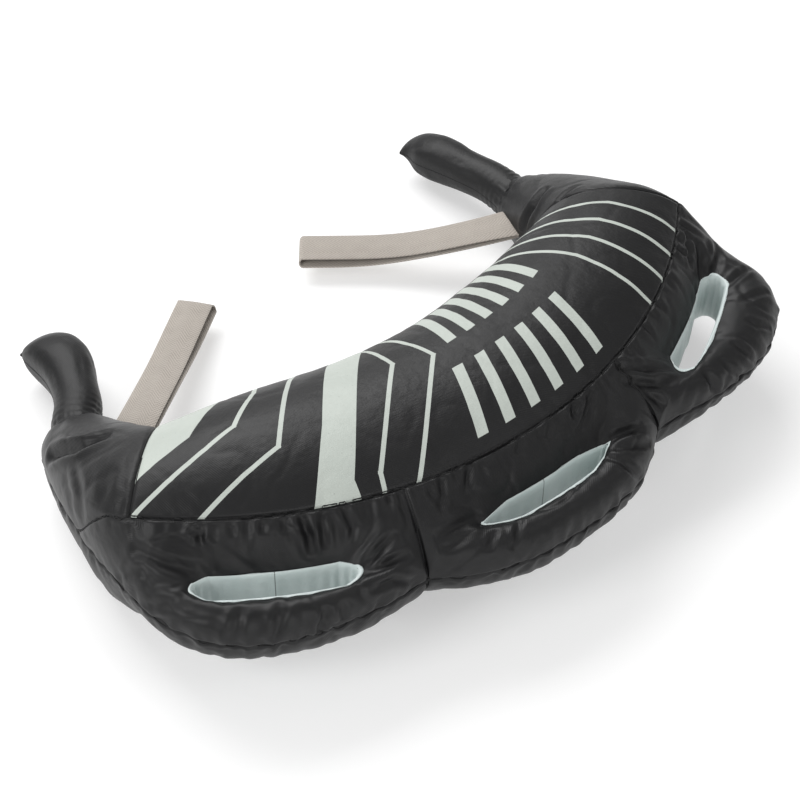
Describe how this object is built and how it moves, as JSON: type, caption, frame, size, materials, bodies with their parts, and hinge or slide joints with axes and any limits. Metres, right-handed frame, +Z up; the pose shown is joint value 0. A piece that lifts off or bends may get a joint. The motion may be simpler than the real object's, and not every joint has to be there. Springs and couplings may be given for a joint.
{
  "type": "bulgarian bag",
  "caption": "Crescent-shaped sand training bag with padded hand loops on its outer bend, two stuffed end grips and two webbing wrist straps",
  "frame": {"origin": "on the flat bottom of the body, under the middle of its width, in the mirror plane of the bend", "axes": "+Z up; the hand loops point to -Y and the grips and straps to +Y; +X runs to the right-hand end"},
  "size_m": [0.7435, 0.5736, 0.1749],
  "materials": {
    "printed_cloth": "coated, printed",
    "coated_cloth": "coated, soft sheen",
    "liner_cloth": "satin",
    "webbing": "woven, matte",
    "stuffing": "fibre filling, matte",
    "sack_cloth": "woven, matte"
  },
  "bodies": {
    "bag": {"top_panel": "printed_cloth", "bottom_panel": "coated_cloth", "left_handle_upper_cover": "coated_cloth", "left_handle_lower_cover": "coated_cloth", "left_handle_liner": "liner_cloth", "left_handle_filling": "stuffing", "left_sand_sack": "sack_cloth", "middle_handle_upper_cover": "coated_cloth", "middle_handle_lower_cover": "coated_cloth", "middle_handle_liner": "liner_cloth", "middle_handle_filling": "stuffing", "middle_sand_sack": "sack_cloth", "right_handle_upper_cover": "coated_cloth", "right_handle_lower_cover": "coated_cloth", "right_handle_liner": "liner_cloth", "right_handle_filling": "stuffing", "right_sand_sack": "sack_cloth", "left_end_upper_panel": "coated_cloth", "left_end_lower_panel": "coated_cloth", "right_end_upper_panel": "coated_cloth", "right_end_lower_panel": "coated_cloth"},
    "left_grip": {"left_grip_upper_cover": "coated_cloth", "left_grip_lower_cover": "coated_cloth", "left_grip_filling": "stuffing"},
    "right_grip": {"right_grip_upper_cover": "coated_cloth", "right_grip_lower_cover": "coated_cloth", "right_grip_filling": "stuffing"},
    "left_strap": {"left_wrist_strap": "webbing"},
    "right_strap": {"right_wrist_strap": "webbing"}
  },
  "joints": [
    {"name": "left_grip_bend", "type": "hinge", "parent": "bag", "child": "left_grip", "pos_m": [-0.28399, 0.23205, 0.045], "axis": [0.9472, -0.3206, 0], "range_deg": [-8, 25], "stiffness_Nm_per_rad": 8},
    {"name": "right_grip_bend", "type": "hinge", "parent": "bag", "child": "right_grip", "pos_m": [0.2969, 0.23191, 0.045], "axis": [0.9882, 0.153, 0], "range_deg": [-8, 25], "stiffness_Nm_per_rad": 8},
    {"name": "left_strap_swing", "type": "hinge", "parent": "bag", "child": "left_strap", "pos_m": [-0.24627, 0.19283, 0.06243], "axis": [0.1169, -0.9931, 0], "range_deg": [-50, 70]},
    {"name": "right_strap_swing", "type": "hinge", "parent": "bag", "child": "right_strap", "pos_m": [0.25288, 0.197, 0.06243], "axis": [0.2439, 0.9698, 0], "range_deg": [-50, 70]}
  ]
}
